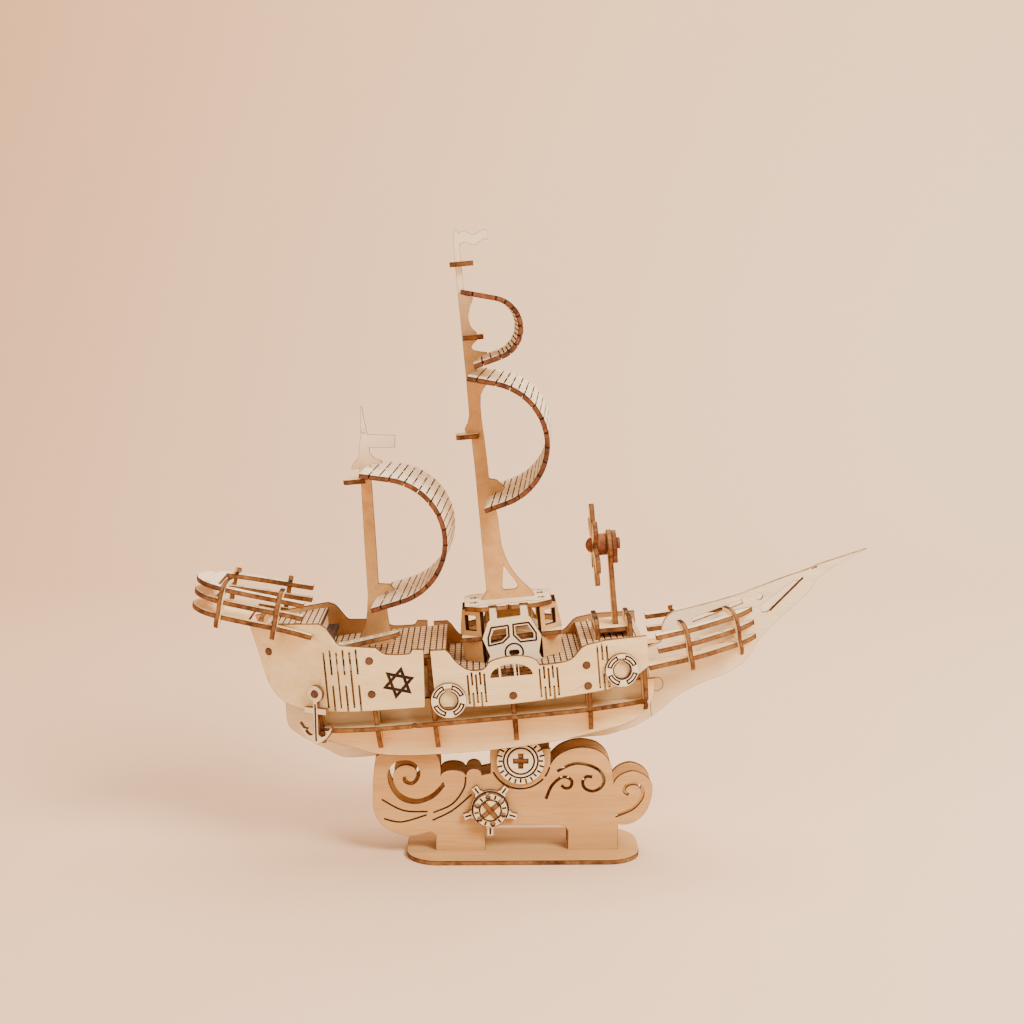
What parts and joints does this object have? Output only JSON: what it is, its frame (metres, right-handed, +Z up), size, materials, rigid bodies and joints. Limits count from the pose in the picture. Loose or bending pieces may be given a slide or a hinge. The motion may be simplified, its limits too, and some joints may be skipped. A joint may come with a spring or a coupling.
{
  "type": "wooden ship puzzle",
  "caption": "Slot-together plywood sailing ship with curved slit sails, cabin, windmill, anchors and rails, pinned bow-up on a wave stand with a turning helm.",
  "frame": {"origin": "centre of the base plate's underside, on the table", "axes": "+X from stern to bow along the base, +Y from the near side to the far side, +Z up; the ship itself is pitched bow-up"},
  "size_m": [0.2858, 0.0776, 0.2647],
  "materials": {
    "ply_pale": "bare basswood plywood faces with laser-browned edges",
    "ply_tan": "bare basswood plywood, slightly darker sheet",
    "ply_dark_edge": "plywood seen mostly by its laser-burnt edge"
  },
  "bodies": {
    "ship_on_stand": {"base_plate": "ply_pale", "stand_plate_near": "ply_tan", "stand_plate_far": "ply_tan", "stand_ties": "ply_dark_edge", "medallions": "ply_pale", "pivot_pins": "ply_dark_edge", "keel_plate": "ply_tan", "bow_plate": "ply_tan", "garboard_near": "ply_tan", "garboard_far": "ply_tan", "frame_1": "ply_dark_edge", "frame_2": "ply_dark_edge", "frame_3": "ply_dark_edge", "frame_4": "ply_dark_edge", "frame_5": "ply_dark_edge", "frame_6": "ply_dark_edge", "stringers": "ply_dark_edge", "panel_aft_near": "ply_pale", "panel_aft_far": "ply_pale", "panel_fore_near": "ply_pale", "panel_fore_far": "ply_pale", "main_deck": "ply_pale", "well_deck": "ply_pale", "fore_deck": "ply_pale", "poop_deck": "ply_pale", "transom": "ply_tan", "hatch_board": "ply_pale", "cabin_side_near": "ply_pale", "cabin_side_far": "ply_pale", "cabin_corners": "ply_tan", "cabin_shelf": "ply_pale", "cabin_roof": "ply_pale", "main_mast": "ply_tan", "mizzen_mast": "ply_tan", "sail_mizzen": "ply_pale", "sail_main": "ply_pale", "sail_upper": "ply_pale", "crosstrees": "ply_dark_edge", "bow_bulkheads": "ply_dark_edge", "bow_shelf": "ply_pale", "mill_post": "ply_tan", "mill_doubler": "ply_dark_edge", "stern_rail_top": "ply_pale", "stern_rail_mid": "ply_pale", "stern_rail_low": "ply_pale", "bow_rail_top": "ply_pale", "bow_rail_mid": "ply_pale", "bow_rail_low": "ply_pale", "rail_posts": "ply_dark_edge", "hull_pegs": "ply_dark_edge", "life_buoys": "ply_pale"},
    "helm": {"helm_axle": "ply_dark_edge", "helm_wheels": "ply_pale", "helm_spokes": "ply_pale"},
    "windmill": {"mill_axle": "ply_dark_edge", "mill_hub": "ply_dark_edge", "mill_blades": "ply_pale"},
    "anchor_near_body": {"anchor_near": "ply_pale"},
    "anchor_far_body": {"anchor_far": "ply_pale"}
  },
  "joints": [
    {"name": "helm_spin", "type": "hinge", "parent": "ship_on_stand", "child": "helm", "pos_m": [-0.0141, 0, 0.021], "axis": [0, 1, 0], "continuous": true},
    {"name": "windmill_spin", "type": "hinge", "parent": "ship_on_stand", "child": "windmill", "pos_m": [0.03606, 0, 0.13395], "axis": [0.9962, 0, 0.0872], "continuous": true},
    {"name": "anchor_near_swing", "type": "hinge", "parent": "ship_on_stand", "child": "anchor_near_body", "pos_m": [-0.08611, -0.02343, 0.07538], "axis": [-0.4052, -0.9135, -0.0354], "range_deg": [-20, 20]},
    {"name": "anchor_far_swing", "type": "hinge", "parent": "ship_on_stand", "child": "anchor_far_body", "pos_m": [-0.08611, 0.02343, 0.07538], "axis": [-0.4052, 0.9135, -0.0354], "range_deg": [-20, 20]}
  ]
}
